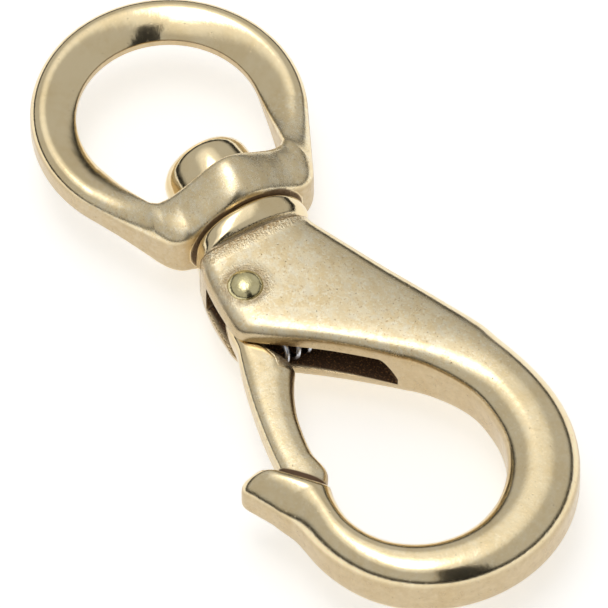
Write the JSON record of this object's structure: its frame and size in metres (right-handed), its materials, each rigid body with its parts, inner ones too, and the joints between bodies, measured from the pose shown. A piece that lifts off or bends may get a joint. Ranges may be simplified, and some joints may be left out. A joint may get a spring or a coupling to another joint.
{
  "type": "snap hook",
  "caption": "Cast brass snap hook with a swivelling strap eye, a round hook bowl and a sprung lever gate that closes against the beak.",
  "frame": {"origin": "centre of the round end of the eye's opening, on the swivel axis", "axes": "+X along the swivel axis from the eye to the hook, +Y to the hook's back, away from the gate, +Z out of the front face"},
  "size_m": [0.1076, 0.0446, 0.0188],
  "materials": {
    "cast_brass": "tumble-polished casting, satin on the broad faces",
    "rivet_brass": "polished",
    "spring_steel": "bright drawn wire"
  },
  "bodies": {
    "hook": {"hook_body": "cast_brass", "pivot_rivet": "rivet_brass", "gate_spring": "spring_steel"},
    "eye": {"swivel_eye": "cast_brass"},
    "gate": {"gate_lever": "cast_brass"}
  },
  "joints": [
    {"name": "eye_swivel", "type": "hinge", "parent": "hook", "child": "eye", "pos_m": [0.018, 0, 0], "axis": [1, 0, 0], "continuous": true},
    {"name": "gate_hinge", "type": "hinge", "parent": "hook", "child": "gate", "pos_m": [0.0323, -0.0065, 0], "axis": [0, 0, 1], "range_deg": [0, 28], "stiffness_Nm_per_rad": 0.12, "springref_deg": -14.32, "deforming": ["gate_spring"]}
  ]
}
